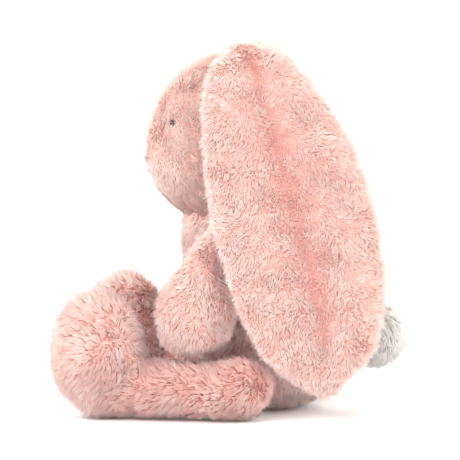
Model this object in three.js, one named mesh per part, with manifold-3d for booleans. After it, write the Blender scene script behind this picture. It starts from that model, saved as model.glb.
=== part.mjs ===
// A seated long-eared plush rabbit, built from the separate pieces it is sewn from: fur covers, the
// stuffing inside each, ear panels, foot soles, eyes with their washers, and the attaching threads.
// Millimetres, +Z up. The rabbit faces -Y and its left side is +X.
import * as THREE from "three";
import { mergeVertices } from "three/addons/utils/BufferGeometryUtils.js";
import Module from "manifold-3d";

const wasm = await Module();
wasm.setup();

// ---------------------------------------------------------------- driving dimensions
const furWall = 7; // fur cloth: backing and pile
const packGap = 0.6; // between a cover and the stuffing in it
const seamGap = 1.2; // between two pieces that are sewn edge to edge
const floorLevel = 0;

// The head sits on the neck, and its top carries the ears.
const neck = { y: 7, z: 118.5, openingR: 16.5, plugR: 12.5, gap: 4, plugSink: 5, seamR: 13.8 };
const head = { y: neck.y, halfX: 57, halfY: 58.5, halfZ: 59.5 };
head.muzzleBulge = 5; // how far the lower front of the face is padded out
head.z = neck.z + head.halfZ;

// Torso stations from the seat up: height, centre in Y, half depth in Y, half width in X.
const shoulderStation = { z: 102, y: 8, halfY: 38.5, halfX: 40 };
const hipStation = { z: 38, y: 30, halfY: 51, halfX: 45.5 };
const torsoStations = [
  { z: -6, y: 30, halfY: 14, halfX: 12 },
  { z: 2, y: 31, halfY: 31, halfX: 27 },
  { z: 15, y: 31, halfY: 44, halfX: 40 },
  hipStation,
  { z: 72, y: 20, halfY: 46, halfX: 43.5 },
  shoulderStation,
  { z: neck.z + 2.5, y: 4.5, halfY: 35.5, halfX: 33.5 },
  { z: neck.z + 13.5, y: 5, halfY: 33, halfX: 30 },
];
const pouch = { z: 24, halfZ: 13, inset: 12 }; // bag of beads in the seat

const arm = {
  topY: 8, topZ: 133, pawY: -24.5, pawZ: 41.5, // its two ends
  shoulderHalf: 17, pawHalf: 32, // half width, seen from the side
  shoulderThick: 13.5, pawThick: 19.5, // half thickness, seen from the front
  splay: 9, // how much further out the paw's inner side is than the shoulder's
};
arm.shoulderX = shoulderStation.halfX + arm.shoulderThick;
arm.pawX = shoulderStation.halfX + arm.splay + arm.pawThick;
const shoulder = { y: 6, z: 112, openingR: 7, seamR: 6 };
shoulder.seamX = shoulderStation.halfX + 0.8;

const hip = { y: 20, z: 23, openingR: 8, seamR: 6.5, gap: 2.3 };
hip.seamX = hipStation.halfX + hip.gap / 2;
const leg = { innerX: hipStation.halfX + hip.gap, rearY: 38, width: 42, rearHalf: 21, kneeHalf: 19, kneeY: -14 };
const foot = { x: 62, y: -76.5, halfX: 31, halfY: 32, halfZ: 43, square: 2.1 };
foot.z = foot.halfZ; // it stands on its heel
const sole = { thick: 15.5 };
sole.y = foot.y - foot.halfY + sole.thick;

// The ear from where it is sewn on, over its fold at the top, to its hanging tip. The middle line's
// x is from the side of the head and its z from the crown under the sewn end; the last is the half width.
const earSewn = { out: -26, y: 12 };
const crown = Math.hypot((head.halfX + earSewn.out) / head.halfX, (earSewn.y - head.y) / head.halfY);
const crownZ = head.z + head.halfZ * Math.sqrt(1 - crown ** 2);
const earStations = [
  [earSewn.out, earSewn.y, 6, 11],
  [-13.5, 17, 10.7, 14],
  [-2, 20.5, 0.7, 25.5],
  [6, 28.5, -27.8, 38.5],
  [11.5, 39, -55.8, 47],
  [16, 49, -87.8, 51.5],
  [20, 58, -119.8, 51],
  [24, 65, -149.8, 46.5],
  [26.5, 69.5, -179.8, 36],
  [27, 72.5, -206.8, 21],
].map(([out, y, up, half]) => [head.halfX + out, y, crownZ + up, half]);
const ear = { tipFrom: 0.86, panel: 8.5, rootPanel: 3.2, liningGap: 0.4, seamDrop: 0.8 };
ear.valley = 0.4; // share of the outer panel's thickness lost along its middle
ear.valleyWidth = 0.26;
ear.rollAtHead = 4; // how far the long edges roll outwards, level with the head
ear.rollAtTip = 12;
ear.rightLean = 13; // the right ear hangs this much further forward than the left
ear.leanFrom = 0.02;
ear.leanBy = 0.16;

const tail = { z: 49.5, r: 24, nestle: 3.4, openingR: 8, seamR: 6.5 };
const eye = { aside: 46.5, up: 12.5, r: 2.2, sunk: 2.6, shankR: 1, washerR: 5, washerThick: 1.2, washerBehind: 3 };
const nose = { up: -15, halfWidth: 7, rise: 3, drop: 8, smile: 2, proud: -0.6, threadR: 1, parting: 0.6 };
nose.z = head.z + nose.up;
const threadR = 0.55;

// ---------------------------------------------------------------- small helpers
const clamp01 = (v) => Math.min(1, Math.max(0, v));
const ease = (from, to, v) => {
  const k = clamp01((v - from) / (to - from));
  return k * k * (3 - 2 * k);
};
const mix = THREE.MathUtils.lerp;
const roundEnds = (s, power = 2) => Math.pow(Math.max(0, 1 - Math.abs(2 * s - 1) ** power), 1 / power);

// A closed body from a sphere's grid: place(s, angle) gives each point, where s runs 0 to 1 from pole
// to pole and angle goes round. flat ends it in two flat caps instead of drawing it to a point.
function grown(around, along, place, flat = false) {
  const geometry = new THREE.SphereGeometry(1, around, along);
  const uv = geometry.getAttribute("uv");
  const position = geometry.getAttribute("position");
  for (let i = 0; i < position.count; i++) {
    const row = Math.round((1 - uv.getY(i)) * along);
    const pole = row === 0 || row === along;
    const s = flat ? clamp01((row - 1) / (along - 2)) : (1 - Math.cos((Math.PI * row) / along)) / 2;
    const p = pole ? middleOf(place, s) : place(s, uv.getX(i) * 2 * Math.PI);
    position.setXYZ(i, p.x, p.y, p.z);
  }
  return facingOut(welded(geometry));
}

function middleOf(place, s) {
  const quarters = [0, 1, 2, 3].map((k) => place(s, (k * Math.PI) / 2));
  return quarters.reduce((sum, p) => sum.add(p), new THREE.Vector3()).multiplyScalar(0.25);
}

function welded(geometry) {
  geometry.deleteAttribute("normal");
  geometry.deleteAttribute("uv");
  return mergeVertices(geometry, 1e-3);
}

function flipFaces(index) {
  for (let i = 0; i < index.length; i += 3) [index[i + 1], index[i + 2]] = [index[i + 2], index[i + 1]];
}

// Turns the faces over when the signed volume says they point inwards.
function facingOut(geometry) {
  const position = geometry.getAttribute("position");
  const index = geometry.index.array;
  const [a, b, c] = [new THREE.Vector3(), new THREE.Vector3(), new THREE.Vector3()];
  let volume = 0;
  for (let i = 0; i < index.length; i += 3) {
    a.fromBufferAttribute(position, index[i]);
    b.fromBufferAttribute(position, index[i + 1]);
    c.fromBufferAttribute(position, index[i + 2]);
    volume += a.dot(b.cross(c));
  }
  if (volume < 0) flipFaces(index);
  return geometry;
}

// The same body with its skin moved inwards along the normals.
function inset(geometry, depth) {
  const made = geometry.clone();
  made.computeVertexNormals();
  const normal = made.getAttribute("normal");
  const position = made.getAttribute("position");
  for (let i = 0; i < position.count; i++) {
    position.setXYZ(
      i,
      position.getX(i) - normal.getX(i) * depth,
      position.getY(i) - normal.getY(i) * depth,
      position.getZ(i) - normal.getZ(i) * depth,
    );
  }
  made.deleteAttribute("normal");
  return made;
}

function solid(geometry) {
  const clean = geometry.getAttribute("uv") ? welded(geometry.clone()) : geometry;
  const made = new wasm.Manifold(
    new wasm.Mesh({
      numProp: 3,
      vertProperties: new Float32Array(clean.getAttribute("position").array),
      triVerts: new Uint32Array(clean.index.array),
    }),
  );
  return made;
}

function geometryOf(body) {
  const mesh = body.getMesh();
  const points = new Float32Array(mesh.numVert * 3);
  for (let i = 0; i < mesh.numVert; i++) {
    points.set(mesh.vertProperties.subarray(i * mesh.numProp, i * mesh.numProp + 3), i * 3);
  }
  const made = new THREE.BufferGeometry();
  made.setAttribute("position", new THREE.BufferAttribute(points, 3));
  made.setIndex(new THREE.BufferAttribute(mesh.triVerts, 1));
  return made;
}

// Mirrored to the rabbit's right side, with the faces still pointing out.
function mirrored(body) {
  const geometry = geometryOf(body);
  const position = geometry.getAttribute("position");
  for (let i = 0; i < position.count; i++) position.setX(i, -position.getX(i));
  flipFaces(geometry.index.array);
  return solid(geometry);
}

const far = 400;
// Everything below (side -1) or above (side 1) the plane at `at` along an axis.
function halfSpace(axis, at, side) {
  const box = new THREE.BoxGeometry(far, far, far);
  const shift = { x: 0, y: 0, z: 0 };
  shift[axis] = at + (side * far) / 2;
  box.translate(shift.x, shift.y, shift.z);
  return solid(box);
}
const underFloor = halfSpace("z", floorLevel, -1);

// A rod of radius r between two points.
function rod(from, to, r, sides = 14) {
  const span = to.clone().sub(from);
  const cylinder = new THREE.CylinderGeometry(r, r, span.length(), sides);
  cylinder.translate(0, span.length() / 2, 0);
  cylinder.applyQuaternion(
    new THREE.Quaternion().setFromUnitVectors(new THREE.Vector3(0, 1, 0), span.normalize()),
  );
  cylinder.translate(from.x, from.y, from.z);
  return solid(cylinder);
}

// A closed loop of sewing thread round a centre, in the plane square to the axis.
function threadLoop(centre, axis, r) {
  const torus = new THREE.TorusGeometry(r, threadR, 5, 18);
  torus.applyQuaternion(new THREE.Quaternion().setFromUnitVectors(new THREE.Vector3(0, 0, 1), axis));
  torus.translate(centre.x, centre.y, centre.z);
  return solid(torus);
}

const V = (x, y, z) => new THREE.Vector3(x, y, z);
const X = V(1, 0, 0);
const Z = V(0, 0, 1);

// ---------------------------------------------------------------- materials
const finish = (color, roughness, metalness = 0) =>
  new THREE.MeshStandardMaterial({ color, roughness, metalness });
const pinkFur = finish(0xf3c3b6, 0.95);
const paleFur = finish(0xe9e4df, 0.95);
const wadding = finish(0xf6f4ef, 1);
const cotton = finish(0xe8dccb, 0.9);
const darkThread = finish(0x5b5560, 0.7);
const pinkThread = finish(0xe7a79b, 0.8);
const blackPlastic = finish(0x17151a, 0.18);
const whitePlastic = finish(0xe8e8e4, 0.5);

const rabbit = new THREE.Group();
const centred = new THREE.Group();
centred.add(rabbit);
function add(name, body, material) {
  const mesh = new THREE.Mesh(geometryOf(body), material);
  mesh.name = name;
  rabbit.add(mesh);
}
function addPair(name, leftBody, material) {
  add(`${name}_left`, leftBody, material);
  add(`${name}_right`, mirrored(leftBody), material);
}

// ---------------------------------------------------------------- head
function headShape() {
  return grown(24, 14, (s, angle) => {
    const polar = Math.acos(1 - 2 * s);
    const d = V(Math.sin(polar) * Math.cos(angle), Math.sin(polar) * Math.sin(angle), -Math.cos(polar));
    const muzzle = Math.max(0, d.dot(V(0, -0.86, -0.51))) ** 4 * head.muzzleBulge;
    return V(
      d.x * head.halfX,
      head.y + d.y * (head.halfY + muzzle),
      head.z + d.z * (head.halfZ + muzzle * 0.6 * clamp01(-d.y * 1.4)),
    );
  });
}
const headOuter = headShape();
const neckHole = rod(V(0, neck.y, neck.z - 30), V(0, neck.y, head.z), neck.openingR, 20);

// A point on the face at an angle from straight ahead and a height from the head's middle.
function facePoint(aside, dz) {
  const a = THREE.MathUtils.degToRad(aside);
  const up = dz / head.halfZ;
  const level = Math.sqrt(1 - up * up);
  const d = V(level * Math.sin(a), -level * Math.cos(a), up);
  const muzzle = Math.max(0, d.dot(V(0, -0.86, -0.51))) ** 4 * head.muzzleBulge;
  return V(d.x * head.halfX, head.y + d.y * (head.halfY + muzzle), head.z + d.z * head.halfZ);
}
const eyeOut = facePoint(eye.aside, eye.up);
const eyeAway = V(eyeOut.x / head.halfX ** 2, (eyeOut.y - head.y) / head.halfY ** 2, 0).normalize();
const eyeDepth = (depth) => eyeOut.clone().addScaledVector(eyeAway, -depth);
// The dome sits down in the pile, on the cloth's backing, with its shank through the cloth.
const eyeSeat = eyeDepth(eye.sunk);
function eyeBall() {
  const ball = new THREE.SphereGeometry(eye.r, 12, 8);
  ball.translate(eyeSeat.x, eyeSeat.y, eyeSeat.z);
  const shank = rod(eyeSeat, eyeDepth(shankEnd), eye.shankR, 10);
  return solid(ball).add(shank);
}
const eyeSocket = rod(eyeDepth(7), eyeDepth(-6), eye.r + 0.4, 16).add(
  rod(eyeDepth(furWall + 6), eyeDepth(4), eye.shankR + 0.3, 10),
);
const washerFace = furWall + eye.washerBehind;
const washerBack = washerFace + eye.washerThick;
const washer = rod(eyeDepth(washerFace), eyeDepth(washerBack), eye.washerR, 16).subtract(
  rod(eyeDepth(washerFace - 1), eyeDepth(washerBack + 1), eye.shankR + 0.3, 10),
);
const shankEnd = washerBack + 1;
const washerRoom = rod(eyeDepth(furWall - 0.5), eyeDepth(shankEnd + 0.6), eye.washerR + 0.6, 16);
const bothSockets = eyeSocket.add(mirrored(eyeSocket));
const bothWasherRooms = washerRoom.add(mirrored(washerRoom));

// Nose and mouth are satin stitch in thick thread: a shallow V across, a short drop and two lip strokes.
const onFace = (x, z) => {
  const aside = THREE.MathUtils.radToDeg(Math.asin(x / head.halfX));
  return facePoint(aside, z - head.z).add(V(0, nose.threadR - nose.proud, 0));
};
const lip = nose.z - nose.drop;
const faceStrokes = [
  [onFace(-nose.halfWidth, nose.z + nose.rise), onFace(0, nose.z)],
  [onFace(nose.halfWidth, nose.z + nose.rise), onFace(0, nose.z)],
  [onFace(0, nose.z), onFace(0, lip)],
  [onFace(0, lip), onFace(-nose.halfWidth, lip + nose.smile)],
  [onFace(0, lip), onFace(nose.halfWidth, lip + nose.smile)],
];
const joined = (bodies) => bodies.reduce((all, one) => all.add(one));
const faceStitch = joined(faceStrokes.map(([a, b]) => rod(a, b, nose.threadR, 8)));
// The pile is parted down to the thread.
const faceRoom = joined(
  faceStrokes.map(([a, b]) => {
    const channel = rod(a, b, nose.threadR + nose.parting, 8);
    return wasm.Manifold.hull([channel, channel.translate([0, -furWall, 0])]);
  }),
);

add(
  "head_cover",
  solid(headOuter).subtract(solid(inset(headOuter, furWall))).subtract(neckHole).subtract(bothSockets).subtract(faceRoom),
  pinkFur,
);
add("head_stuffing", solid(inset(headOuter, furWall + packGap)).subtract(bothWasherRooms), wadding);
addPair("eye", eyeBall(), blackPlastic);
addPair("eye_washer", washer, whitePlastic);
add("nose_and_mouth_stitch", faceStitch, darkThread);

// ---------------------------------------------------------------- torso
const torsoCurve = (key) =>
  new THREE.CatmullRomCurve3(torsoStations.map((t) => V(t[key], t.z, 0)), false, "centripetal");
const torsoLines = { y: torsoCurve("y"), halfY: torsoCurve("halfY"), halfX: torsoCurve("halfX") };
// How far back the torso reaches at a height.
function torsoRear(z) {
  let best = 0;
  for (let k = 1; k < 200; k++) {
    if (Math.abs(torsoLines.y.getPoint(k / 200).y - z) < Math.abs(torsoLines.y.getPoint(best / 200).y - z)) best = k;
  }
  return torsoLines.y.getPoint(best / 200).x + torsoLines.halfY.getPoint(best / 200).x;
}
function torsoShape() {
  return grown(
    22,
    13,
    (s, angle) => {
      const [y, halfY, halfX] = ["y", "halfY", "halfX"].map((key) => torsoLines[key].getPoint(s));
      return V(Math.cos(angle) * halfX.x, y.x + Math.sin(angle) * halfY.x, halfX.y);
    },
    true,
  );
}
const torsoOuter = torsoShape();
// The chest and shoulders are hollowed to follow the head, which nods and turns just above them.
const underHead = (depth) => solid(inset(headOuter, -(neck.gap + depth)));
const torsoBody = solid(torsoOuter).subtract(underFloor).subtract(underHead(0));
const torsoRoom = solid(inset(torsoOuter, furWall))
  .subtract(halfSpace("z", furWall, -1))
  .subtract(underHead(furWall));
const neckWell = rod(V(0, neck.y, neck.z - 20), V(0, neck.y, neck.z + 10), neck.openingR, 20);
add("torso_cover", torsoBody.subtract(torsoRoom).subtract(neckWell), pinkFur);

const pouchTop = pouch.z + pouch.halfZ;
const pouchBody = grown(16, 8, (s, angle) => {
  const polar = Math.acos(1 - 2 * s);
  const base = torsoStations[2];
  return V(
    Math.sin(polar) * Math.cos(angle) * (base.halfX - pouch.inset),
    base.y + Math.sin(polar) * Math.sin(angle) * (base.halfY - pouch.inset),
    pouch.z - Math.cos(polar) * pouch.halfZ,
  );
});
add("seat_bead_pouch", solid(pouchBody).subtract(halfSpace("z", furWall + packGap, -1)), cotton);
add(
  "torso_stuffing",
  solid(inset(torsoOuter, furWall + packGap))
    .subtract(halfSpace("z", pouchTop + packGap, -1))
    .subtract(underHead(furWall + packGap)),
  wadding,
);
add(
  "neck_stuffing",
  rod(V(0, neck.y, neck.z - neck.gap - neck.plugSink), V(0, neck.y, neck.z + furWall - 2), neck.plugR, 20),
  wadding,
);
add("neck_seam_thread", threadLoop(V(0, neck.y, neck.z - neck.gap / 2), Z, neck.seamR), pinkThread);

// ---------------------------------------------------------------- arms
function armShape(depth) {
  const across = V(0, arm.topZ - arm.pawZ, arm.pawY - arm.topY).normalize();
  const length = Math.hypot(arm.topZ - arm.pawZ, arm.pawY - arm.topY);
  return grown(16, 12, (s, angle) => {
    const end = roundEnds(s, 2.2);
    const along = mix(depth / length, 1 - depth / length, s);
    const half = end * (mix(arm.shoulderHalf, arm.pawHalf, ease(0.1, 0.85, along)) - depth);
    const thick = end * (mix(arm.shoulderThick, arm.pawThick, ease(0.15, 0.8, along)) - depth);
    const middle = V(
      mix(arm.shoulderX, arm.pawX, ease(0, 1, along)),
      mix(arm.topY, arm.pawY, along) + 3 * Math.sin(Math.PI * along),
      mix(arm.topZ, arm.pawZ, along),
    );
    // angle 0 is outwards
    return middle.addScaledVector(across, Math.sin(angle) * half * -1).add(V(Math.cos(angle) * thick, 0, 0));
  });
}
const armHole = rod(
  V(arm.shoulderX - 30, shoulder.y, shoulder.z),
  V(arm.shoulderX - 2, shoulder.y, shoulder.z),
  shoulder.openingR,
  16,
);
addPair("arm_cover", solid(armShape(0)).subtract(solid(armShape(furWall))).subtract(armHole), pinkFur);
addPair("arm_stuffing", solid(armShape(furWall + packGap)), wadding);
addPair("arm_seam_thread", threadLoop(V(shoulder.seamX, shoulder.y, shoulder.z), X, shoulder.seamR), pinkThread);

// ---------------------------------------------------------------- legs and feet
function thighShape() {
  const back = leg.rearY;
  const front = foot.y;
  return grown(16, 10, (s, angle) => {
    const y = mix(back, front, s);
    const round = s < 0.5 ? roundEnds(Math.min(0.5, ((back - y) / (2 * leg.rearHalf)) * 0.5), 2) : roundEnds(s, 2);
    const kneeing = Math.exp(-(((y - leg.kneeY) / 24) ** 2));
    const half = mix(leg.rearHalf, leg.kneeHalf, kneeing);
    const middleX = leg.innerX + leg.width / 2;
    return V(
      mix(middleX, foot.x, ease(0.3, 1, s)) + (Math.cos(angle) * round * leg.width) / 2,
      y,
      half + 0.4 - Math.sin(angle) * -half * round,
    );
  });
}
function footShape(depth) {
  const power = 2 / foot.square;
  const signed = (v) => Math.sign(v) * Math.abs(v) ** power;
  return grown(14, 9, (s, angle) => {
    const polar = Math.acos(1 - 2 * s);
    const ring = Math.sin(polar) ** power;
    return V(
      foot.x + ring * signed(Math.cos(angle)) * (foot.halfX - depth),
      foot.y + ring * signed(Math.sin(angle)) * (foot.halfY - depth),
      foot.z - signed(Math.cos(polar)) * (foot.halfZ - depth),
    );
  });
}
const legBody = (depth) =>
  solid(inset(thighShape(), depth))
    .add(solid(footShape(depth)))
    .subtract(halfSpace("z", floorLevel + depth, -1));
const soleCut = halfSpace("y", sole.y, -1);
const soleTop = halfSpace("y", sole.y + seamGap, -1);
const hipHole = rod(V(leg.innerX - 20, hip.y, hip.z), V(leg.innerX + 14, hip.y, hip.z), hip.openingR, 16);
addPair("leg_cover", legBody(0).subtract(legBody(furWall)).subtract(hipHole).subtract(soleTop), pinkFur);
addPair(
  "leg_stuffing",
  legBody(furWall + packGap).subtract(halfSpace("y", sole.y + seamGap, -1)),
  wadding,
);
addPair("foot_sole", legBody(0).intersect(soleCut), pinkFur);
addPair("leg_seam_thread", threadLoop(V(hip.seamX, hip.y, hip.z), X, hip.seamR), pinkThread);

// ---------------------------------------------------------------- ears
const earCurve = new THREE.CatmullRomCurve3(earStations.map(([x, y, z]) => V(x, y, z)), false, "centripetal");
const earWidths = new THREE.CatmullRomCurve3(earStations.map((p) => V(p[3], 0, 0)));
const earWidest = Math.max(...earStations.map((p) => p[3]));
const earWidth = (s) => {
  const tip = clamp01((s - ear.tipFrom) / (1 - ear.tipFrom));
  return earWidths.getPoint(earCurve.getUtoTmapping(s)).x * Math.sqrt(1 - tip * tip);
};
// A point on an ear: across runs -1 (front edge) to 1 (rear edge), lift is off the seam plane.
function earPoint(s, across, lift, lean) {
  const middle = earCurve.getPointAt(s).add(V(0, -lean * ease(ear.leanFrom, ear.leanBy, s), 0));
  const along = earCurve.getTangentAt(s);
  const outwards = V(-along.z, 0, along.x).normalize();
  const sideways = new THREE.Vector3().crossVectors(outwards, along).normalize();
  if (sideways.y < 0) sideways.negate();
  const width = earWidth(s);
  const roll = mix(ear.rollAtHead, ear.rollAtTip, ease(0.25, 0.85, s)) * (width / earWidest);
  return middle
    .addScaledVector(sideways, across * width)
    .addScaledVector(outwards, lift + roll * across * across);
}
function earPanel(side, lean) {
  return grown(20, 18, (s, angle) => {
    const across = Math.cos(angle);
    const raised = Math.max(0, side * Math.sin(angle)) ** 0.75;
    const dip = 1 - ear.valley * Math.exp(-((across / ear.valleyWidth) ** 2));
    const thick = mix(ear.rootPanel, ear.panel, ease(0.02, 0.16, s));
    const swell = raised * thick * (side > 0 ? dip : 1) * roundEnds(mix(0.03, 0.97, s), 5);
    return earPoint(s, across, side * (ear.liningGap / 2 + swell), lean);
  });
}
for (const [panel, side] of Object.entries({ ear_outer_panel: 1, ear_inner_panel: -1 })) {
  add(`${panel}_left`, solid(earPanel(side, 0)), pinkFur);
  add(`${panel}_right`, mirrored(solid(earPanel(side, ear.rightLean))), pinkFur);
}
const [rootX, rootY, rootZ, rootHalf] = earStations[0];
const earSeamZ = rootZ - ear.rootPanel - threadR - ear.seamDrop;
addPair(
  "ear_seam_thread",
  rod(V(rootX, rootY - rootHalf * 0.7, earSeamZ), V(rootX, rootY + rootHalf * 0.7, earSeamZ), threadR, 6),
  pinkThread,
);

// ---------------------------------------------------------------- tail
const tailRoot = V(0, torsoRear(tail.z) - tail.nestle, tail.z);
const tailY = tailRoot.y + tail.r;
function tailShape() {
  return grown(14, 9, (s, angle) => {
    const polar = Math.acos(1 - 2 * s);
    const d = V(Math.sin(polar) * Math.cos(angle), -Math.cos(polar), Math.sin(polar) * Math.sin(angle));
    return V(d.x * tail.r, tailY + d.y * tail.r, tail.z + d.z * tail.r);
  });
}
const tailOuter = tailShape();
const torsoKeepOut = solid(inset(torsoOuter, -seamGap));
add(
  "tail_cover",
  solid(tailOuter)
    .subtract(solid(inset(tailOuter, furWall)))
    .subtract(rod(tailRoot, tailRoot.clone().add(V(0, 14, 0)), tail.openingR, 14))
    .subtract(torsoKeepOut),
  paleFur,
);
add("tail_stuffing", solid(inset(tailOuter, furWall + packGap)), wadding);
const tailSeam = V(0, torsoRear(tail.z - tail.seamR) + threadR + packGap, tail.z);
add("tail_seam_thread", threadLoop(tailSeam, V(0, 1, 0), tail.seamR), pinkThread);

// ---------------------------------------------------------------- frame
const box = new THREE.Box3().setFromObject(rabbit);
rabbit.position.set(0, -(box.min.y + box.max.y) / 2, -box.min.z);

export default centred;
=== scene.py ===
"""A seated plush rabbit in long pink fur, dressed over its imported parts.

Sizes are millimetres until meshes are made.
"""

import math

import bpy
import numpy as np
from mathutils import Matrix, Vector
from mathutils.kdtree import KDTree


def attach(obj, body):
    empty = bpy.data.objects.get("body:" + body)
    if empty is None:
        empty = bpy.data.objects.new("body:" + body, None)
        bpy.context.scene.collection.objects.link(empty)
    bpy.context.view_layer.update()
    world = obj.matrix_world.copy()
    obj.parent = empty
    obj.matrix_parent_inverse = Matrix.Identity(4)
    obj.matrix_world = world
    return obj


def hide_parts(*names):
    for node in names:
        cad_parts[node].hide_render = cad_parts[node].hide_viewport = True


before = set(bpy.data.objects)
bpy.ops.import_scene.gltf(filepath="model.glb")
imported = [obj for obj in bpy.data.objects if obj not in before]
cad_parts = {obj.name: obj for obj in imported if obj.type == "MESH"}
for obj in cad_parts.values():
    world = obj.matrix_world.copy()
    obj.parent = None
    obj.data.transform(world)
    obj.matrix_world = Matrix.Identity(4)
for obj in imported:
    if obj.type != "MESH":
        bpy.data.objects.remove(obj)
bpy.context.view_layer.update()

# ------------------------------------------------------------------ sizes, mm
shift_y = -7.47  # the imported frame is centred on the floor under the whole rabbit
pile_height = 4.2  # from the dense underfur to the tips
filling_rise = 0.8  # most that the filling pushes the cloth out
strand_length = 7.0
strand_width = 0.8
strand_sink = 0.4  # of a strand's foot into the cloth
floor_gap = 0.15  # lowest that a strand may reach
strand_area = 0.5  # mm2 of cloth per strand
tuft_area = 14.0  # mm2 of cloth per tuft
stray_share = 0.1  # of the strands stand out from their tufts

head = {
    "y": 7.0,
    "z": 178.0,
    "x": 57.0,
    "depth": 58.5,
    "height": 59.5,
    "muzzle": 5.0,  # how far the cheeks and nose stand out of the ball
    "over_neck": 2.2,  # from the head's ball to the chest that is pressed round it
    "short_pile": 1.4,  # how much shorter the head's fur stands
}
torso_round = (12, 30)  # how square the torso's lower and upper ends are
torso_rows = np.array(
    [  # z, middle y, half depth, half width
        (0.0, 30, 22, 20),
        (2.0, 31, 31, 27),
        (15.0, 31, 44, 40),
        (38.0, 30, 51, 45.5),
        (72.0, 20, 46, 43.5),
        (102.0, 8, 38.5, 40),
        (121.0, 4.5, 35.5, 33.5),
        (132.0, 5, 34.5, 31),
        (143.0, 5, 34.5, 30),
    ]
)
arm = {"x": (48.5, 66.5), "y": (8.0, -24.5), "z": (133.0, 41.5)}
arm["half"] = (17.0, 32.0)
arm["thick"] = (17.0, 21.0)
arm["bow"] = 3.0
leg = {"inner": 47.8, "rear": 38.0, "width": 42.0, "rear_half": 21.0, "knee_half": 19.0, "knee_y": -14.0}
foot = {"x": 62.0, "y": -76.5, "z": 43.0, "half": (31.0, 32.0, 43.0), "melt": 7.0}
ear_rows = np.array(
    [  # middle x, y, z, half width
        (31, 12, 233.8, 11),
        (43.5, 17, 238.5, 14),
        (55, 20.5, 228.5, 25.5),
        (63, 28.5, 200, 38.5),
        (68.5, 39, 172, 47),
        (73, 49, 140, 51.5),
        (77, 58, 108, 51),
        (81, 65, 78, 46.5),
        (83.5, 69.5, 48, 36),
        (84, 72.5, 21, 21),
    ],
    dtype=float,
)
ear = {
    "tip_from": 0.86,
    "thick": 8.5,
    "root_thick": 3.6,
    "roll": (4.0, 12.0),  # how far the edges curl outwards, near the head and lower down
    "crest_at": 0.06,  # share of the length where the ear folds over
    "crest_drop": 7.0,
    "valley_at": 0.06,  # share of the half width
    "valley_wide": 0.22,
    "valley_deep": 5.4,
    "right_lean": 13.0,
    "lean_from": 0.02,
    "lean_by": 0.16,
}
tail = {"y": 98.5, "z": 49.5, "r": 24.0}
eye = {"aside": 46.5, "up": 12.5, "r": 2.2, "sunk": 3.7}  # aside is in degrees from the nose
nose = {"z": 163.0, "half": 7.0, "rise": 3.0, "drop": 8.0, "smile": 2.0}


# ------------------------------------------------------------------ numbers
def ease(a, b, v):
    k = np.clip((v - a) / (b - a), 0, 1)
    return k * k * (3 - 2 * k)


def mix(a, b, k):
    return a + (b - a) * k


def unit(v):
    return v / np.maximum(np.linalg.norm(v, axis=-1, keepdims=True), 1e-9)


def dot(a, b):
    return np.sum(a * b, axis=-1, keepdims=True)


def across(n, v):
    """v laid flat in the surface whose normal is n."""
    return unit(v - n * dot(n, v))


def round_ends(s, power=2.0):
    return np.maximum(0, 1 - np.abs(2 * s - 1) ** power) ** (1 / power)


def smooth_path(rows, s):
    """Points of a smooth curve through rows, at shares s of its length."""
    steps = np.linalg.norm(np.diff(rows[:, :3], axis=0), axis=1)
    t = np.concatenate([[0], np.cumsum(steps)]) / steps.sum()
    slope = np.gradient(rows, t, axis=0)
    i = np.clip(np.searchsorted(t, s, side="right") - 1, 0, len(t) - 2)
    h = (t[i + 1] - t[i])[..., None]
    k = ((s - t[i]) / (t[i + 1] - t[i]))[..., None]
    a = (2 * k**3 - 3 * k**2 + 1) * rows[i] + (k**3 - 2 * k**2 + k) * h * slope[i]
    return a + (-2 * k**3 + 3 * k**2) * rows[i + 1] + (k**3 - k**2) * h * slope[i + 1]


def waves(p, size, seed, count=5):
    """A smooth field of about -1 to 1 over points p, whose lumps are about `size` mm across."""
    rng = np.random.default_rng(seed)
    total = np.zeros(len(p))
    for _ in range(count):
        turn = unit(rng.normal(size=3)) * (2 * math.pi / size) * rng.uniform(0.6, 1.4)
        total += np.sin(p @ turn + rng.uniform(0, 6.28))
    return total / math.sqrt(count)


def flow_noise(p, size, seed):
    return np.stack([waves(p, size, seed + k) for k in range(3)], axis=-1)


# ------------------------------------------------------------------ skins
def grown(place, around, along):
    """Points and faces of a closed skin. place(s, angle) gives points; s runs 0 to 1 from pole to pole."""
    s = (1 - np.cos(np.pi * np.arange(along + 1) / along)) / 2
    angle = 2 * np.pi * np.arange(around) / around
    ss, aa = np.meshgrid(s, angle, indexing="ij")
    p = place(ss, aa)
    rows = p[1:-1].reshape(-1, 3)
    points = np.concatenate([p[0].mean(0)[None], rows, p[-1].mean(0)[None]])
    last = len(points) - 1
    faces = []
    for c in range(around):
        d = (c + 1) % around
        faces.append((0, 1 + d, 1 + c))
        for r in range(along - 2):
            a = 1 + r * around
            faces.append((a + c, a + d, a + around + d, a + around + c))
        end = 1 + (along - 2) * around
        faces.append((last, end + c, end + d))
    return points, faces


def signed_volume(points, faces):
    tris = np.array([(f[0], f[i], f[i + 1]) for f in faces for i in range(1, len(f) - 1)])
    a, b, c = points[tris[:, 0]], points[tris[:, 1]], points[tris[:, 2]]
    return float(np.sum(a * np.cross(b, c)))


def skin(name, place, around, along, mirror=False):
    """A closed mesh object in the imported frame, with its faces pointing out."""
    points, faces = grown(place, around, along)
    points = points + (0, shift_y, 0)
    if mirror:
        points = points * (-1, 1, 1)
    if signed_volume(points, faces) < 0:
        faces = [f[::-1] for f in faces]
    mesh = bpy.data.meshes.new(name)
    mesh.from_pydata((points / 1000).tolist(), [], faces)
    mesh.shade_smooth()
    made = bpy.data.objects.new(name, mesh)
    bpy.context.scene.collection.objects.link(made)
    return made


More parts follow.
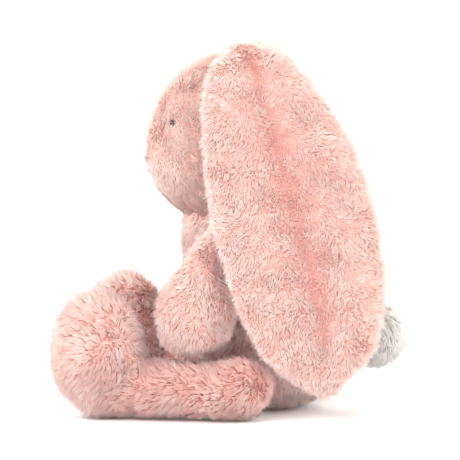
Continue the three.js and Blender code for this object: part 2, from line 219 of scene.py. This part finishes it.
def read_points(mesh):
    flat = np.empty(len(mesh.vertices) * 3, dtype=np.float32)
    mesh.vertices.foreach_get("co", flat)
    return flat.reshape(-1, 3).astype(float) * 1000


def muzzle(d):
    return np.maximum(0, d @ np.array([0, -0.86, -0.51])) ** 4 * head["muzzle"]


def head_place(depth):
    def place(s, angle):
        polar = np.arccos(1 - 2 * s)
        d = np.stack([np.sin(polar) * np.cos(angle), np.sin(polar) * np.sin(angle), -np.cos(polar)], -1)
        m = muzzle(d)
        x = d[..., 0] * (head["x"] - depth)
        y = head["y"] + d[..., 1] * (head["depth"] - depth + m)
        z = head["z"] + d[..., 2] * (head["height"] - depth + m * 0.6 * np.clip(-d[..., 1] * 1.4, 0, 1))
        return np.stack([x, y, z], -1)

    return place


def torso_place(depth):
    """The torso, with its top pressed outwards where the head sits in it."""

    def place(s, angle):
        z = mix(torso_rows[0, 0] + depth * 0.4, torso_rows[-1, 0] - depth * 0.4, s)
        y, deep, wide = (np.interp(z, torso_rows[:, 0], torso_rows[:, k]) for k in (1, 2, 3))
        end = np.sqrt(np.clip(1 - np.abs(2 * s - 1) ** np.where(s < 0.5, *torso_round), 0, 1))
        x = np.cos(angle) * (wide - depth) * end
        p = np.stack([x, y + np.sin(angle) * (deep - depth) * end, z], -1)
        middle = np.array([0, head["y"], head["z"]])
        radii = np.array([head["x"], head["depth"], head["height"]]) + head["over_neck"] - depth
        within = np.linalg.norm((p - middle) / radii, axis=-1, keepdims=True)
        return np.where(within < 1, middle + (p - middle) / np.maximum(within, 0.1), p)

    return place


def arm_place(depth):
    def place(s, angle):
        end = round_ends(s, 2.2)
        half = end * (mix(*arm["half"], ease(0.1, 0.85, s)) - depth)
        thick = end * (mix(*arm["thick"], ease(0.15, 0.8, s)) - depth)
        away = unit(np.array([0, arm["z"][0] - arm["z"][1], arm["y"][1] - arm["y"][0]]))
        k = mix(depth / 100, 1 - depth / 100, s)
        y = mix(*arm["y"], k) + arm["bow"] * np.sin(np.pi * k)
        middle = np.stack([mix(*arm["x"], ease(0, 1, k)), y, mix(*arm["z"], k)], -1)
        out = np.stack([np.cos(angle) * thick, 0 * thick, 0 * thick], -1)
        return middle - away * (np.sin(angle) * half)[..., None] + out

    return place


def thigh_radius(y):
    return mix(leg["rear_half"], leg["knee_half"], np.exp(-(((y - leg["knee_y"]) / 24) ** 2)))


def leg_field(p, depth):
    """Negative inside the leg's cover, for points p. The thigh and the foot melt into each other."""
    back = leg["rear"] - depth
    half = thigh_radius(p[..., 1])
    centre_x = mix(leg["inner"] + leg["width"] / 2, foot["x"], ease(0, 1, (leg["rear"] - p[..., 1]) / 110))
    over = np.maximum(0, p[..., 1] - (back - leg["rear_half"] + depth))
    wide = leg["width"] / 2 - depth
    thigh = np.sqrt(
        ((p[..., 0] - centre_x) / wide) ** 2
        + ((p[..., 2] - half - 0.4) / (half - depth)) ** 2
        + (over / (leg["rear_half"] - depth)) ** 2
    )
    fx, fy, fz = (h - depth for h in foot["half"])
    ball = np.sqrt(
        ((p[..., 0] - foot["x"]) / fx) ** 2
        + ((p[..., 1] - foot["y"]) / fy) ** 2
        + ((p[..., 2] - foot["z"]) / fz) ** 2
    )
    beyond = np.maximum(0, (foot["y"] - p[..., 1]) / 20)
    thigh = (thigh + beyond - 1) * (half - depth)
    ball = (ball - 1) * 28
    k = np.clip(0.5 + 0.5 * (ball - thigh) / foot["melt"], 0, 1)
    return mix(ball, thigh, k) - foot["melt"] * k * (1 - k)


def leg_place(depth):
    """Points on leg_field's zero, found along rays from a bent middle line."""
    rear_cap, front_cap = 0.12, 0.72  # shares of the length where the rounded ends begin

    def place(s, angle):
        ends = (leg["rear"] - 20.0, foot["y"])
        lean = np.clip((s - rear_cap) / 0.6, 0, 1)
        y = mix(*ends, lean)
        z = mix(21.0, foot["z"], ease(0.55, 0.95, lean))
        start = np.stack([mix(leg["inner"] + leg["width"] / 2, foot["x"], lean), y, z], -1)
        tip_back = np.clip((rear_cap - s) / rear_cap, 0, 1)
        tip_front = np.clip((s - front_cap) / 0.28, 0, 1)
        swing = (tip_back - tip_front) * np.pi / 2
        slant = ease(0.3, front_cap, s) * (1 - ease(front_cap, 1, s)) * 0.45
        ring = np.stack([np.cos(angle), np.sin(angle) * np.sin(slant), np.sin(angle) * np.cos(slant)], -1)
        ray = unit(ring * np.cos(swing)[..., None] + np.stack([0 * s, np.sin(swing), 0 * s], -1))
        low, high = np.zeros_like(s), np.full_like(s, 90.0)
        for _ in range(26):
            half = (low + high) / 2
            inside = leg_field(start + ray * half[..., None], depth) < 0
            low, high = np.where(inside, half, low), np.where(inside, high, half)
        return start + ray * low[..., None]

    return place


def ear_frame(s, lean):
    """The ear's middle line at shares s of its length, its two directions there and its half width."""
    here = smooth_path(ear_rows, s)
    step = 0.004
    ahead = smooth_path(ear_rows, np.clip(s + step, 0, 1)) - smooth_path(ear_rows, np.clip(s - step, 0, 1))
    along = unit(ahead[..., :3])
    outward = unit(np.stack([-along[..., 2], 0 * s, along[..., 0]], -1))
    sideways = unit(np.cross(outward, along))
    sideways = np.where(sideways[..., 1:2] < 0, -sideways, sideways)
    tip = np.clip((s - ear["tip_from"]) / (1 - ear["tip_from"]), 0, 1)
    width = here[..., 3] * np.sqrt(1 - tip**2)
    middle = here[..., :3] - np.stack([0 * s, lean * ease(ear["lean_from"], ear["lean_by"], s), 0 * s], -1)
    return middle, outward, sideways, width


def ear_place(side, lean, depth):
    """One panel of an ear: side 1 is the outer, -1 the inner. Its other face is flat against its mate."""

    def place(s, angle):
        middle, outward, sideways, width = ear_frame(s, lean)
        over = np.cos(angle)
        raised = np.maximum(0, side * np.sin(angle)) ** 0.6
        valley = np.exp(-(((over - ear["valley_at"]) / ear["valley_wide"]) ** 2))
        valley = valley * ease(0.08, 0.3, s) * (1 - ease(ear["tip_from"], 0.97, s))
        thick = mix(ear["root_thick"], ear["thick"], ease(0.02, 0.2, s)) - depth * 0.75
        lift = side * (0.2 + raised * thick * round_ends(mix(0.03, 0.97, s), 5))
        if side > 0:
            lift = lift - valley * raised * ear["valley_deep"]
        roll = mix(*ear["roll"], ease(0.25, 0.85, s)) * (width / ear_rows[:, 3].max())
        wide = np.maximum(width - depth, 0.3)
        crest = ear["crest_drop"] * np.exp(-(((s - ear["crest_at"]) / ear["crest_at"]) ** 2))
        lift = (lift + (roll - crest) * over**2)[..., None]
        return middle + sideways * (over * wide)[..., None] + outward * lift

    return place


def ball_place(depth):
    def place(s, angle):
        polar = np.arccos(1 - 2 * s)
        r = tail["r"] - depth
        x = np.sin(polar) * np.cos(angle) * r
        y = tail["y"] - np.cos(polar) * r
        return np.stack([x, y, tail["z"] + np.sin(polar) * np.sin(angle) * r], -1)

    return place


# ------------------------------------------------------------------ materials
def linear(hex_colour):
    v = np.array([int(hex_colour[i : i + 2], 16) / 255 for i in (0, 2, 4)])
    v = np.where(v <= 0.04045, v / 12.92, ((v + 0.055) / 1.055) ** 2.4)
    return (*v, 1.0)


def material(name, roughness=0.9, sheen=0.0, **sockets):
    made = bpy.data.materials.new(name)
    made.use_nodes = True
    shader = made.node_tree.nodes["Principled BSDF"]
    shader.inputs["Roughness"].default_value = roughness
    shader.inputs["Sheen Weight"].default_value = sheen
    for socket, value in sockets.items():
        shader.inputs[socket.replace("_", " ")].default_value = value
    return made, made.node_tree, shader


def fur_material(name, root, middle, tip, shade):
    """Root to tip colours along each strand; the deeper colour at the roots is painted shade down in the
    pile. The second coordinate is the strand's tone: random from strand to strand and tuft to tuft, with
    painted shade and painted light added where grow_fur is given a tone.
    """
    made, tree, shader = material(name, 0.85, 0.25)
    shader.inputs["Specular IOR Level"].default_value = 0.25
    shader.inputs["Sheen Tint"].default_value = linear(tip)
    place = tree.nodes.new("ShaderNodeUVMap")
    place.uv_map = "OFBake"
    split = tree.nodes.new("ShaderNodeSeparateXYZ")
    ramp = tree.nodes.new("ShaderNodeValToRGB")
    stops = ramp.color_ramp.elements
    # The root colour is painted shade deep in the pile, lightening towards the tips.
    stops[0].position, stops[0].color = 0.0, linear(root)
    stops[1].position, stops[1].color = 1.0, linear(tip)
    stops.new(0.45).color = linear(middle)
    tone = tree.nodes.new("ShaderNodeMix")
    tone.data_type, tone.blend_type = "RGBA", "MIX"
    tone.inputs["B"].default_value = linear(shade)
    less = tree.nodes.new("ShaderNodeMath")
    less.operation = "MULTIPLY"
    less.inputs[1].default_value = 0.7
    link = tree.links.new
    link(place.outputs["UV"], split.inputs[0])
    link(split.outputs["X"], ramp.inputs["Fac"])
    link(split.outputs["Y"], less.inputs[0])
    link(less.outputs[0], tone.inputs["Factor"])
    link(ramp.outputs["Color"], tone.inputs["A"])
    link(tone.outputs["Result"], shader.inputs["Base Color"])
    return made


def cloth_material(name, light, dark, scale, bump, shaded=None):
    """Knitted backing cloth or thread: fine noise in colour and height. With shaded, that colour is mixed
    in as painted shade where the skin's shade attribute is high.
    """
    made, tree, shader = material(name, 0.9, 0.1)
    noise = tree.nodes.new("ShaderNodeTexNoise")
    noise.inputs["Scale"].default_value = scale
    noise.inputs["Detail"].default_value = 4
    space = tree.nodes.new("ShaderNodeTexCoord")
    ramp = tree.nodes.new("ShaderNodeValToRGB")
    ramp.color_ramp.elements[0].color, ramp.color_ramp.elements[1].color = linear(dark), linear(light)
    lift = tree.nodes.new("ShaderNodeBump")
    lift.inputs["Strength"].default_value = bump
    lift.inputs["Distance"].default_value = 0.0005
    link = tree.links.new
    link(space.outputs["Object"], noise.inputs["Vector"])
    link(noise.outputs["Fac"], ramp.inputs["Fac"])
    # Painted shade: the skin's shade attribute mixes in the darker colour.
    if shaded:
        depth_of_shade = tree.nodes.new("ShaderNodeAttribute")
        depth_of_shade.attribute_name = "shade"
        darker = tree.nodes.new("ShaderNodeMix")
        darker.data_type = "RGBA"
        darker.inputs["B"].default_value = linear(shaded)
        link(depth_of_shade.outputs["Fac"], darker.inputs["Factor"])
        link(ramp.outputs["Color"], darker.inputs["A"])
        link(darker.outputs["Result"], shader.inputs["Base Color"])
    else:
        link(ramp.outputs["Color"], shader.inputs["Base Color"])
    link(noise.outputs["Fac"], lift.inputs["Height"])
    link(lift.outputs["Normal"], shader.inputs["Normal"])
    return made


# Root colours are painted shade deep in the pile; the last colour is mixed in by each strand's tone, which
# carries random tone and painted shade.
pink_fur = fur_material("pink_fur", "f3c0b4", "f9dacf", "fef0ea", "e19d94")
pale_fur = fur_material("pale_fur", "d3cfca", "e9e6e1", "faf8f5", "dedad5")
# df9890 is painted shade for the ear valleys.
pink_backing = cloth_material("pink_backing", "f2c0b5", "eaaea2", 900, 0.5, shaded="df9890")
pale_backing = cloth_material("pale_backing", "d0cac3", "b5aea8", 900, 0.5)
thread_grey = cloth_material("thread_grey", "a39ca2", "7d7780", 2500, 0.8)
thread_pink = cloth_material("thread_pink", "dd988b", "c57868", 2500, 0.8)
wadding = cloth_material("wadding", "faf8f4", "e9e5dc", 300, 0.8)
cotton = cloth_material("cotton", "eee4d4", "d9cbb5", 1200, 0.6)
washer_white = cloth_material("washer_white", "efefec", "deded9", 150, 0.1)
eye_black, _, eye_shader = material("eye_black", 0.08, 0.0, Coat_Weight=0.6)
eye_shader.inputs["Base Color"].default_value = linear("120e10")


# ------------------------------------------------------------------ fur
def triangles(mesh):
    mesh.calc_loop_triangles()
    flat = np.empty(len(mesh.loop_triangles) * 3, dtype=np.int32)
    mesh.loop_triangles.foreach_get("vertices", flat)
    return flat.reshape(-1, 3)


def vertex_normals(points, tris):
    n = np.zeros_like(points)
    face = np.cross(points[tris[:, 1]] - points[tris[:, 0]], points[tris[:, 2]] - points[tris[:, 0]])
    for k in range(3):
        np.add.at(n, tris[:, k], face)
    return unit(n)


def roots_on(obj, area, rng):
    """Random points over a skin, one to each `area` mm2, with the skin's normals there."""
    points = read_points(obj.data)
    tris = triangles(obj.data)
    normals = vertex_normals(points, tris)
    a, b, c = (points[tris[:, k]] for k in range(3))
    sizes = np.linalg.norm(np.cross(b - a, c - a), axis=1) / 2
    count = int(sizes.sum() / area)
    pick = rng.choice(len(tris), size=count, p=sizes / sizes.sum())
    u, v = rng.random(count), rng.random(count)
    over = u + v > 1
    u[over], v[over] = 1 - u[over], 1 - v[over]
    w = np.stack([1 - u - v, u, v], -1)
    p = sum(points[tris[pick, k]] * w[:, k : k + 1] for k in range(3))
    n = unit(sum(normals[tris[pick, k]] * w[:, k : k + 1] for k in range(3)))
    return p, n


def nearest(points, centres):
    tree = KDTree(len(centres))
    for i, c in enumerate(centres):
        tree.insert(c, i)
    tree.balance()
    return np.array([tree.find(p)[1] for p in points])


# A strand's points are three round its root, which is down in the cloth, and its tip.
strand_faces = np.array([(0, 2, 1), (0, 1, 3), (1, 2, 3), (2, 0, 3)])


def strand_mesh(name, root, heading, length, width, tone, mat):
    """Closed tapering strands from their roots along their headings."""
    count = len(root)
    side = unit(np.cross(heading, (0.31, 0.54, 0.78)))
    up = np.cross(heading, side)
    points = np.empty((count, 4, 3))
    for k in range(3):
        turn = 2 * math.pi * k / 3
        points[:, k] = root + (side * math.cos(turn) + up * math.sin(turn)) * (width * 0.5)[:, None]
    points[:, 3] = root + heading * length[:, None]
    points[..., 2] = np.maximum(points[..., 2], floor_gap)
    mesh = bpy.data.meshes.new(name)
    mesh.vertices.add(count * 4)
    mesh.vertices.foreach_set("co", (points.reshape(-1) / 1000).astype(np.float32))
    faces = (strand_faces[None] + (np.arange(count) * 4)[:, None, None]).reshape(-1, 3)
    mesh.loops.add(len(faces) * 3)
    mesh.loops.foreach_set("vertex_index", faces.reshape(-1).astype(np.int32))
    mesh.polygons.add(len(faces))
    mesh.polygons.foreach_set("loop_start", np.arange(0, len(faces) * 3, 3, dtype=np.int32))
    mesh.update(calc_edges=True)
    uv = np.empty((count, 4, 2))
    uv[..., 0] = (0.02, 0.02, 0.02, 0.98)
    uv[..., 1] = np.clip(tone, 0.02, 0.98)[:, None]
    layer = mesh.uv_layers.new(name="OFBake")
    layer.data.foreach_set("uv", uv.reshape(-1, 2)[faces.reshape(-1)].reshape(-1).astype(np.float32))
    mesh.materials.append(mat)
    made = bpy.data.objects.new(name, mesh)
    bpy.context.scene.collection.objects.link(made)
    return made


def grow_fur(
    name,
    on,
    body,
    flow,
    seed,
    keep=None,
    tone=None,
    length=1.0,
    rise=0.45,
    area=strand_area,
    gathered=0.3,
    ruffled=1.0,
    mat=None,
):
    """Fur over the skin `on`. flow(points, normals) is the way it is combed.

    keep picks the points that grow fur, tone darkens strands (and lightens them where it is negative),
    which the callers use for painted shade and painted light, and length is a share of strand_length.
    rise is how far strands stand up, gathered how far they bunch, ruffled how far they stray from the comb.
    """
    rng = np.random.default_rng(seed)
    root, normal = roots_on(on, area, rng)
    if keep is not None:
        kept = keep(root, normal)
        root, normal = root[kept], normal[kept]
    count = len(root)
    reach = length(root, normal) if callable(length) else length
    ruffle = 0.5 * flow_noise(root, 30, seed) + 0.3 * flow_noise(root, 9, seed + 9)
    combed = unit(flow(root, normal)) + ruffled * ruffle
    lean = across(normal, combed + 0.2 * rng.normal(size=(count, 3)))
    stand = rise + 0.1 * waves(root, 20, seed + 7) + 0.08 * rng.normal(size=count)
    stand = np.clip(stand, 0.15, 0.95)[:, None]
    reach = reach * strand_length * rng.uniform(0.75, 1.1, count) * (1 + 0.07 * waves(root, 14, seed + 3))
    stray = rng.random(count) < stray_share
    reach = reach * np.where(stray, 1.35, 1.0)
    tip = root + unit(normal * stand + lean * (1 - stand)) * reach[:, None]
    tufts = rng.choice(count, size=max(2, int(count * area / tuft_area)), replace=False)
    own = tufts[nearest(root, root[tufts])]
    gather = np.where(stray, 0.0, gathered * rng.uniform(0.2, 1.8, count))[:, None]
    heading = mix(tip, tip[own], gather) - root
    reach = np.linalg.norm(heading, axis=1)
    width = strand_width * rng.uniform(0.7, 1.2, count) * np.where(stray, 0.6, 1.0)
    colour = 0.35 + 0.14 * waves(root, 24, seed + 5)
    colour = colour + 0.1 * rng.normal(size=count) + 0.12 * rng.normal(size=count)[own]
    # The tone given here adds painted shade (ears, legs) and painted light (head) to the random tone.
    if tone is not None:
        colour = colour + tone(root, normal)
    start = root - normal * strand_sink
    made = strand_mesh(name, start, unit(heading), reach, width, colour, mat or pink_fur)
    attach(made, body)
    return made


def fill_out(skins):
    """Lets the filling press each sewn skin outwards as cloth, and keeps the shape it takes.

    skins pairs each mesh with the numbers of its points that a seam holds still.
    """
    last_frame = 20
    rest = {made: read_points(made.data) for made, _ in skins}
    for made, seam in skins:
        made.vertex_groups.new(name="seam").add(seam, 1.0, "REPLACE")
        cloth = made.modifiers.new("filling", "CLOTH")
        cloth.settings.use_pressure = True
        cloth.settings.uniform_pressure_force = 4
        cloth.settings.effector_weights.gravity = 0
        cloth.settings.vertex_group_mass = "seam"
        cloth.collision_settings.use_collision = False
    for step in range(1, last_frame + 1):
        bpy.context.scene.frame_set(step)
    filled = bpy.context.evaluated_depsgraph_get()
    pushed = {made: read_points(made.evaluated_get(filled).data) for made, _ in skins}
    for made, _ in skins:
        move = pushed[made] - rest[made]
        reach = np.linalg.norm(move, axis=1, keepdims=True)
        kept = rest[made] + move * np.minimum(1, filling_rise / np.maximum(reach, 1e-6))
        made.modifiers.clear()
        made.vertex_groups.clear()
        made.data.vertices.foreach_set("co", (kept.reshape(-1) / 1000).astype(np.float32))
    bpy.context.scene.frame_set(1)
    for made, _ in skins:
        made.modifiers.new("smoother", "SUBSURF").levels = 1
    smoother = bpy.context.evaluated_depsgraph_get()
    for made, _ in skins:
        finer = bpy.data.meshes.new_from_object(made.evaluated_get(smoother))
        made.modifiers.clear()
        made.data = finer


def shade_skin(made, shade):
    """Stores how much painted shade darkens the underfur at each of the skin's points, 0 to 1."""
    layer = made.data.attributes.new("shade", "FLOAT", "POINT")
    layer.data.foreach_set("value", np.clip(shade, 0, 1).astype(np.float32))


def dress(skin_obj, body, slot, mat, *nodes, fill=0.75):
    skin_obj.data.materials.append(mat)
    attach(skin_obj, body)
    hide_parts(*nodes)


def at(*place):
    """A place in the part's own numbers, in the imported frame."""
    return np.array(place, dtype=float) + (0, shift_y, 0)


down = np.array([0.0, 0.0, -1.0])
depth = pile_height + filling_rise
ear_depth = 3.0  # the ear's pile is shorter

# ------------------------------------------------------------------ skins, filled
head_skin = skin("head_skin", head_place(depth - head["short_pile"]), 56, 40)
torso_skin = skin("torso_skin", torso_place(depth), 56, 40)
tail_skin = skin("tail_skin", ball_place(depth), 32, 20)
arm_skins, leg_skins, ear_skins = {}, {}, {}
for side, mirror in {"left": False, "right": True}.items():
    arm_skins[side] = skin(f"arm_skin_{side}", arm_place(depth), 36, 32, mirror)
    leg_skins[side] = skin(f"leg_skin_{side}", leg_place(depth), 40, 50, mirror)
    for panel, face in {"outer": 1, "inner": -1}.items():
        place = ear_place(face, ear["right_lean"] * mirror, ear_depth)
        ear_skins[side, panel] = skin(f"ear_{panel}_skin_{side}", place, 52, 50, mirror)


def ear_line(side):
    """The ear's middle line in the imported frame, with its directions and widths."""
    sign = -1 if side == "right" else 1
    line, out, sideways, width = ear_frame(np.linspace(0, 1, 200), ear["right_lean"] * (sign < 0))
    line = (line + (0, shift_y, 0)) * (sign, 1, 1)
    along = unit(np.gradient(line, axis=0))
    return line, out * (sign, 1, 1), sideways * (sign, 1, 1), along, np.maximum(width, 6)


ear_lines = {side: ear_line(side) for side in ("left", "right")}


def beside(side, p):
    """For points on an ear: their share across it, their lift off the seam, and where along it they are."""
    line, out, sideways, along, width = ear_lines[side]
    i = nearest(p, line)
    share = np.sum((p - line[i]) * sideways[i], axis=1) / width[i]
    lift = np.sum((p - line[i]) * out[i], axis=1)
    return share, lift, i


def valley(side, p):
    """How deep in the ear's lengthways valley points are, 0 to 1."""
    share, _, i = beside(side, p)
    wander = ear["valley_at"] + 0.05 * np.sin(i * 0.045)
    deep = np.exp(-(((share - wander) / 0.12) ** 2)) * 0.5 + np.exp(-(((share - wander) / 0.3) ** 2)) * 0.5
    return deep * ease(10, 30, i) * (1 - ease(165, 190, i))


def ear_seam(side, panel):
    """The panel's points that are sewn: its edge, its flat back, and the outer panel's stitched middle."""
    points = read_points(ear_skins[side, panel].data)
    share, lift, i = beside(side, points)
    roll = ear["roll"][1] * share**2
    flat = (lift - roll) * (1 if panel == "outer" else -1) < 1.2
    middle = (np.abs(share - ear["valley_at"]) < 0.12) & (panel == "outer")
    return np.flatnonzero(flat | middle | (np.abs(share) > 0.93)).tolist()


filled = [(head_skin, []), (torso_skin, []), (tail_skin, [])]
filled += [(made, []) for made in (*arm_skins.values(), *leg_skins.values())]
filled += [(made, ear_seam(*key)) for key, made in ear_skins.items()]
fill_out(filled)

dress(head_skin, "head", "pink_fur", pink_backing, "head_cover", "head_stuffing", fill=0.85)
dress(torso_skin, "torso", "pink_fur", pink_backing, "torso_cover", "torso_stuffing", fill=0.7)
dress(tail_skin, "tail", "pale_fur", pale_backing, "tail_cover", "tail_stuffing", fill=0.8)
for side in ("left", "right"):
    arm_nodes = (f"arm_cover_{side}", f"arm_stuffing_{side}")
    dress(arm_skins[side], f"arm_{side}", "pink_fur", pink_backing, *arm_nodes)
    leg_nodes = (f"leg_cover_{side}", f"leg_stuffing_{side}", f"foot_sole_{side}")
    dress(leg_skins[side], f"leg_{side}", "pink_fur", pink_backing, *leg_nodes)
    for panel in ("outer", "inner"):
        node = f"ear_{panel}_panel_{side}"
        # Painted shade on both ear panels' backing cloth, darkest along the lengthways valley.
        shade_skin(ear_skins[side, panel], 0.75 * valley(side, read_points(ear_skins[side, panel].data)))
        dress(ear_skins[side, panel], f"ear_{side}", "pink_fur", pink_backing, node, fill=0.5)


# ------------------------------------------------------------------ fur on the head
face_at = at(0, head["y"] - head["depth"], nose["z"] - 2)


def head_flow(p, n):
    away = across(n, p - face_at)
    near_face = np.exp(-((np.linalg.norm(p - face_at, axis=1) / 60) ** 2))[:, None]
    return away * (0.35 + near_face) + down * 0.75


def face_point(aside, up, out=0.0):
    """A point on the head, `aside` degrees from the nose and `up` mm over the middle, `out` mm off it."""
    a, k = math.radians(aside), up / head["height"]
    level = math.sqrt(1 - k * k)
    d = np.array([level * math.sin(a), -level * math.cos(a), k])
    radii = np.array([head["x"], head["depth"] + muzzle(d), head["height"]])
    return at(0, head["y"], head["z"]) + d * (radii + out)


def off_face(p, n):
    """Keeps fur off the eyes and parted at the stitches."""
    parting, eye_gap = 0.6, 0.8
    eye_left = face_point(eye["aside"], eye["up"], head["short_pile"] - depth)
    left = np.linalg.norm(p - eye_left, axis=1)
    right = np.linalg.norm(p - eye_left * (-1, 1, 1), axis=1)
    aside, below = np.abs(p[:, 0]), nose["z"] - p[:, 2]
    brow = np.abs(below + aside * nose["rise"] / nose["half"]) < parting
    lips = np.abs(below - nose["drop"] + aside * nose["smile"] / nose["half"]) < parting
    drop = (aside < parting) & (below > 0) & (below < nose["drop"])
    stitched = (((brow | lips) & (aside < nose["half"])) | drop) & (p[:, 1] < -30)
    return (left > eye_gap) & (right > eye_gap) & ~stitched


for part, sign in {"front": -1, "back": 1}.items():
    grow_fur(
        f"head_fur_{part}",
        head_skin,
        "head",
        head_flow,
        seed=11 if sign < 0 else 12,
        keep=lambda p, n, sign=sign: (p[:, 1] * sign > 0) & off_face(p, n),
        # Painted light: the head's fur is made lighter than the rest of the pink fur, for the brighter
        # light that falls on the head.
        tone=lambda p, n: -0.15,
        length=0.85,
        rise=0.36,
        gathered=0.1,
        ruffled=0.35,
    )

# ------------------------------------------------------------------ fur on the torso
for part, sign in {"left": 1, "right": -1}.items():
    grow_fur(
        f"torso_fur_{part}",
        torso_skin,
        "torso",
        lambda p, n: down + across(n, p) * 0.2,
        seed=21 if sign > 0 else 22,
        keep=lambda p, n, sign=sign: (p[:, 0] * sign > 0) & (p[:, 2] > 3),
    )

# ------------------------------------------------------------------ fur on the arms, legs and ears
for side, sign in {"left": 1, "right": -1}.items():
    seed = 50 if sign > 0 else 100
    grow_fur(
        f"arm_fur_{side}",
        arm_skins[side],
        f"arm_{side}",
        lambda p, n: down + np.array([0, -0.3, 0]),
        seed=seed + 1,
    )
    crown = at(sign * 90, -75, 42)

    def leg_flow(p, n, crown=crown):
        swirl = across(n, p - crown)
        near = np.exp(-((np.linalg.norm(p - crown, axis=1) / 34) ** 2))[:, None]
        return swirl * near * 0.6 + np.array([0, -0.7, -0.35])

    for part, cut in {"foot": True, "thigh": False}.items():
        grow_fur(
            f"leg_fur_{part}_{side}",
            leg_skins[side],
            f"leg_{side}",
            leg_flow,
            seed=seed + (2 if cut else 3),
            keep=lambda p, n, cut=cut: ((p[:, 1] < foot["y"] + 30 + shift_y) == cut) & (p[:, 2] > 0),
            # Painted shade: the leg's fur is darker all over, and darker still towards the back under the
            # arm and low down near the floor.
            tone=lambda p, n: 0.1 + 0.35 * ease(-95, -40, p[:, 1]) * (1 - ease(20, 60, p[:, 2])),
            length=1.15,
            gathered=0.45,
        )

    for panel, face in {"outer": 1, "inner": -1}.items():

        def ear_flow(p, n, side=side):
            _, _, sideways, along, _ = ear_lines[side]
            share, _, i = beside(side, p)
            return along[i] * 0.8 + sideways[i] * np.clip(share * 1.3, -1, 1)[:, None]

        def facing(p, n, side=side, face=face):
            _, _, i = beside(side, p)
            return np.sum(n * ear_lines[side][1][i], axis=1) * face > -0.2

        grow_fur(
            f"ear_{panel}_fur_{side}",
            ear_skins[side, panel],
            f"ear_{side}",
            ear_flow,
            seed=seed + (5 if face > 0 else 6),
            keep=facing,
            # Painted shade: the outer panel's fur darkens into its lengthways valley, and is slightly
            # lighter away from it.
            tone=lambda p, n, side=side, face=face: (0.65 * valley(side, p) - 0.08) * (face > 0),
            length=lambda p, n, side=side: 0.95 - 0.35 * valley(side, p),
        )

# ------------------------------------------------------------------ fur on the tail
tail_middle = at(0, tail["y"], tail["z"])
grow_fur(
    "tail_fur",
    tail_skin,
    "tail",
    lambda p, n: down + 0.2 * unit(p - tail_middle),
    seed=31,
    area=0.6,
    mat=pale_fur,
)


# ------------------------------------------------------------------ face and carried-over pieces
def smooth_ball(name, centre, r):
    place = Vector(centre / 1000)
    bpy.ops.mesh.primitive_uv_sphere_add(segments=48, ring_count=32, radius=r / 1000, location=place)
    made = bpy.context.object
    made.name = name
    bpy.ops.object.transform_apply(location=True, rotation=False, scale=False)
    made.data.shade_smooth()
    return made


for side, sign in {"left": 1, "right": -1}.items():
    centre = face_point(eye["aside"] * sign, eye["up"], -eye["sunk"])
    ball = smooth_ball(f"eye_ball_{side}", centre, eye["r"])
    ball.data.materials.append(eye_black)
    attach(ball, "head")
    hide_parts(f"eye_{side}")

carried = {
    "nose_and_mouth_stitch": thread_grey,
    "neck_seam_thread": thread_pink,
    "neck_stuffing": wadding,
    "seat_bead_pouch": cotton,
    "tail_seam_thread": thread_pink,
}
for side in ("left", "right"):
    carried[f"eye_washer_{side}"] = washer_white
    for limb in ("arm", "leg", "ear"):
        carried[f"{limb}_seam_thread_{side}"] = thread_pink
for name, mat in carried.items():
    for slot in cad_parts[name].material_slots:
        slot.material = mat

# ------------------------------------------------------------------ floor, light, camera
bpy.ops.mesh.primitive_plane_add(size=60, location=(0, 0, 0))
floor = bpy.context.object
floor.name = "floor"
floor_mat, _, floor_shader = material("floor_white", 0.9)
floor_shader.inputs["Base Color"].default_value = (0.96, 0.955, 0.957, 1)
floor_shader.inputs["Specular IOR Level"].default_value = 0.1
floor.data.materials.append(floor_mat)


def area_light(name, place, size, power):
    """A soft round light aimed at the rabbit's middle. Metres and watts."""
    data = bpy.data.lights.new(name, "AREA")
    data.shape, data.size, data.energy = "DISK", size, power
    lamp = bpy.data.objects.new(name, data)
    bpy.context.scene.collection.objects.link(lamp)
    lamp.location = place
    lamp.rotation_euler = (Vector((0, 0, 0.12)) - Vector(place)).to_track_quat("-Z", "Y").to_euler()


area_light("key", (1.5, -0.2, 1.2), 1.3, 13.5)
area_light("fill", (1.3, 1.0, 0.5), 1.2, 10)
area_light("face", (0.9, -1.5, 0.3), 1.6, 22)
area_light("rear", (-0.4, 1.7, 0.7), 1.4, 14)
area_light("front", (-0.5, -1.6, 0.6), 1.4, 9)
area_light("back", (-1.0, 0.6, 1.3), 1.0, 14)

world = bpy.data.worlds.new("studio")
world.use_nodes = True
world.node_tree.nodes["Background"].inputs["Color"].default_value = (1, 1, 1, 1)
world.node_tree.nodes["Background"].inputs["Strength"].default_value = 1.2
bpy.context.scene.world = world

azimuth, elevation = math.radians(96), math.radians(4.5)
distance, seen_width = 2.0, 0.3036  # m
target = Vector((0, shift_y / 1000, 0.120))
back = Vector(
    (
        math.sin(azimuth) * math.cos(elevation),
        -math.cos(azimuth) * math.cos(elevation),
        math.sin(elevation),
    )
)
camera_data = bpy.data.cameras.new("camera")
camera_data.sensor_width = 36
camera_data.lens = camera_data.sensor_width * distance / seen_width
camera_data.shift_x, camera_data.shift_y = 0.0098, -0.0087
camera = bpy.data.objects.new("camera", camera_data)
bpy.context.scene.collection.objects.link(camera)
camera.location = target + back * distance
camera.rotation_mode = "QUATERNION"
camera.rotation_quaternion = (-back).to_track_quat("-Z", "Y")
bpy.context.scene.camera = camera
bpy.context.scene.view_settings.view_transform = "Standard"
